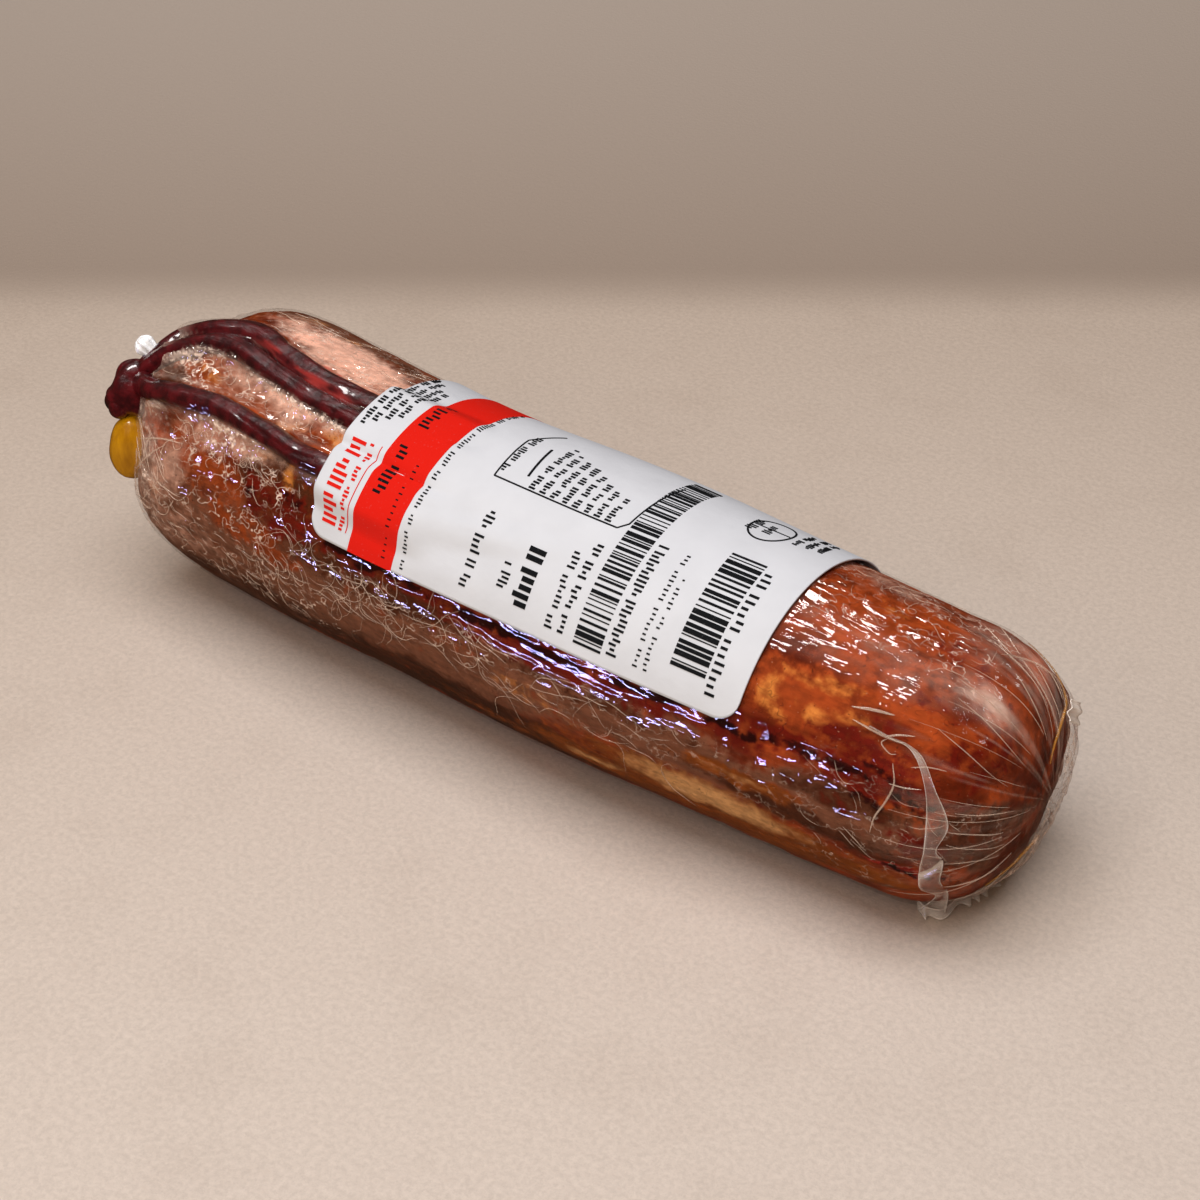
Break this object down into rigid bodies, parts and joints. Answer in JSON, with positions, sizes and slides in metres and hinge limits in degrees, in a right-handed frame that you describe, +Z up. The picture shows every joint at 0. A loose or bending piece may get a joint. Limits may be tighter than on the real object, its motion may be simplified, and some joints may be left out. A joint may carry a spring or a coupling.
{
  "type": "cured pork loin",
  "caption": "Whole cured pork loin in skin-tight clear film, with a knotted dark cord along its top and a white paper label round its middle.",
  "frame": {"origin": "on the plane the loin lies on, under the middle of its box", "axes": "+X along the loin from the knot to the gathered end of the film, +Z up, -Y towards the side that shows the label's lower edge"},
  "size_m": [0.1958, 0.058, 0.0572],
  "materials": {
    "film_wrapped_meat": "glossy clear film over dark red-brown cured meat",
    "cord": "dark maroon cord, wet-looking under the film",
    "golden_lobe": "glossy golden yellow",
    "label_paper": "satin white label paper"
  },
  "bodies": {
    "root": {"wrapped_loin": "film_wrapped_meat", "knot": "cord", "yellow_lobe": "golden_lobe", "cord_front": "cord", "cord_middle": "cord", "cord_back": "cord", "label": "label_paper"}
  },
  "joints": []
}
